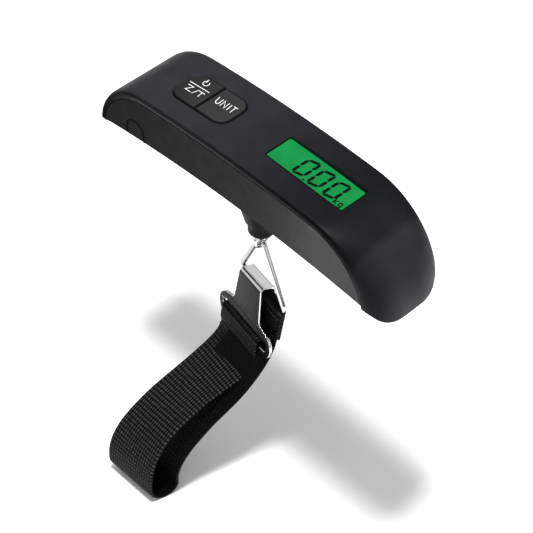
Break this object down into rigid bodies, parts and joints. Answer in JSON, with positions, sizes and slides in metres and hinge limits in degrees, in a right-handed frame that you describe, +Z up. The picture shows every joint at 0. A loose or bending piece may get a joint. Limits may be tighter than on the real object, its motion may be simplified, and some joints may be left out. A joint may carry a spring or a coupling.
{
  "type": "digital luggage scale",
  "caption": "Hand-held hanging scale: arched grip with lit display and two keys, swivelling pull stem, wire link, hook buckle and webbing loop.",
  "frame": {"origin": "under the middle of the handle, level with the two ends of its arched underside, on the axis of the swivelling stem", "axes": "+X along the handle toward the display, -Y the wall with the battery tab, +Z up; the pull on the stem is along -Z"},
  "size_m": [0.1378, 0.0776, 0.1512],
  "materials": {
    "cover": "soft-touch, fine satin grain",
    "tub": "satin",
    "keys": "satin",
    "window": "clear, polished",
    "display": "green liquid crystal panel with dark segments",
    "backlight": "lit diffuser",
    "connector": "matte",
    "board": "solder mask",
    "chip": "epoxy",
    "capacitor": "ceramic",
    "switch": "plain",
    "beam": "milled",
    "gauge": "film",
    "steel": "zinc plated",
    "wire": "insulated",
    "cell": "nickel plated",
    "contact": "gold flashed spring sheet",
    "neck": "satin",
    "chrome": "polished plating",
    "buckle": "nickel plated, brushed along the plate",
    "webbing": "ribbed polypropylene weave",
    "thread": "lockstitch"
  },
  "bodies": {
    "casing": {"top_cover": "cover", "lower_shell": "tub", "display_window": "window", "display_glass": "display", "display_backlight": "backlight", "display_connector": "connector", "circuit_board": "board", "processor_blob": "chip", "board_capacitors": "capacitor", "power_switch": "switch", "unit_switch": "switch", "load_cell": "beam", "strain_gauges": "gauge", "load_cell_screws": "steel", "gauge_wires": "wire", "coin_cell": "cell", "battery_contact_plus": "contact", "battery_contact_minus": "contact", "case_screws": "steel", "hook_neck": "neck", "swivel_washer": "steel"},
    "power_key": {"power_button": "keys"},
    "unit_key": {"unit_button": "keys"},
    "door": {"battery_door": "tub"},
    "swivel": {"swivel_eye": "chrome", "swivel_nut": "steel"},
    "link": {"wire_link": "chrome"},
    "strap": {"strap_back_tab": "webbing", "back_stitching": "thread", "strap_loop": "webbing"},
    "buckle": {"hook_buckle": "buckle", "strap_front_tab": "webbing", "front_stitching": "thread"}
  },
  "joints": [
    {"name": "power_press", "type": "slide", "parent": "casing", "child": "power_key", "axis": [0, 0, -1], "range_m": [0, 0.0006], "stiffness_N_per_m": 1500, "springref_m": -0.0002},
    {"name": "unit_press", "type": "slide", "parent": "casing", "child": "unit_key", "axis": [0, 0, -1], "range_m": [0, 0.0006], "stiffness_N_per_m": 1500, "springref_m": -0.0002},
    {"name": "door_slide", "type": "slide", "parent": "casing", "child": "door", "axis": [0, 0, -1], "range_m": [0, 0.015]},
    {"name": "eye_swivel", "type": "hinge", "parent": "casing", "child": "swivel", "pos_m": [0, 0, -0.0217], "axis": [0, 0, 1], "continuous": true},
    {"name": "link_swing", "type": "hinge", "parent": "swivel", "child": "link", "pos_m": [0, 0, -0.0274], "axis": [0.981, -0.1942, 0], "range_deg": [-45, 45]},
    {"name": "loop_swing", "type": "hinge", "parent": "link", "child": "strap", "pos_m": [0, 0, -0.0515], "axis": [0.981, -0.1942, 0], "range_deg": [-30, 30]},
    {"name": "buckle_swing", "type": "hinge", "parent": "strap", "child": "buckle", "pos_m": [0, 0, -0.0515], "axis": [-0.981, 0.1942, 0], "range_deg": [0, 20]}
  ]
}
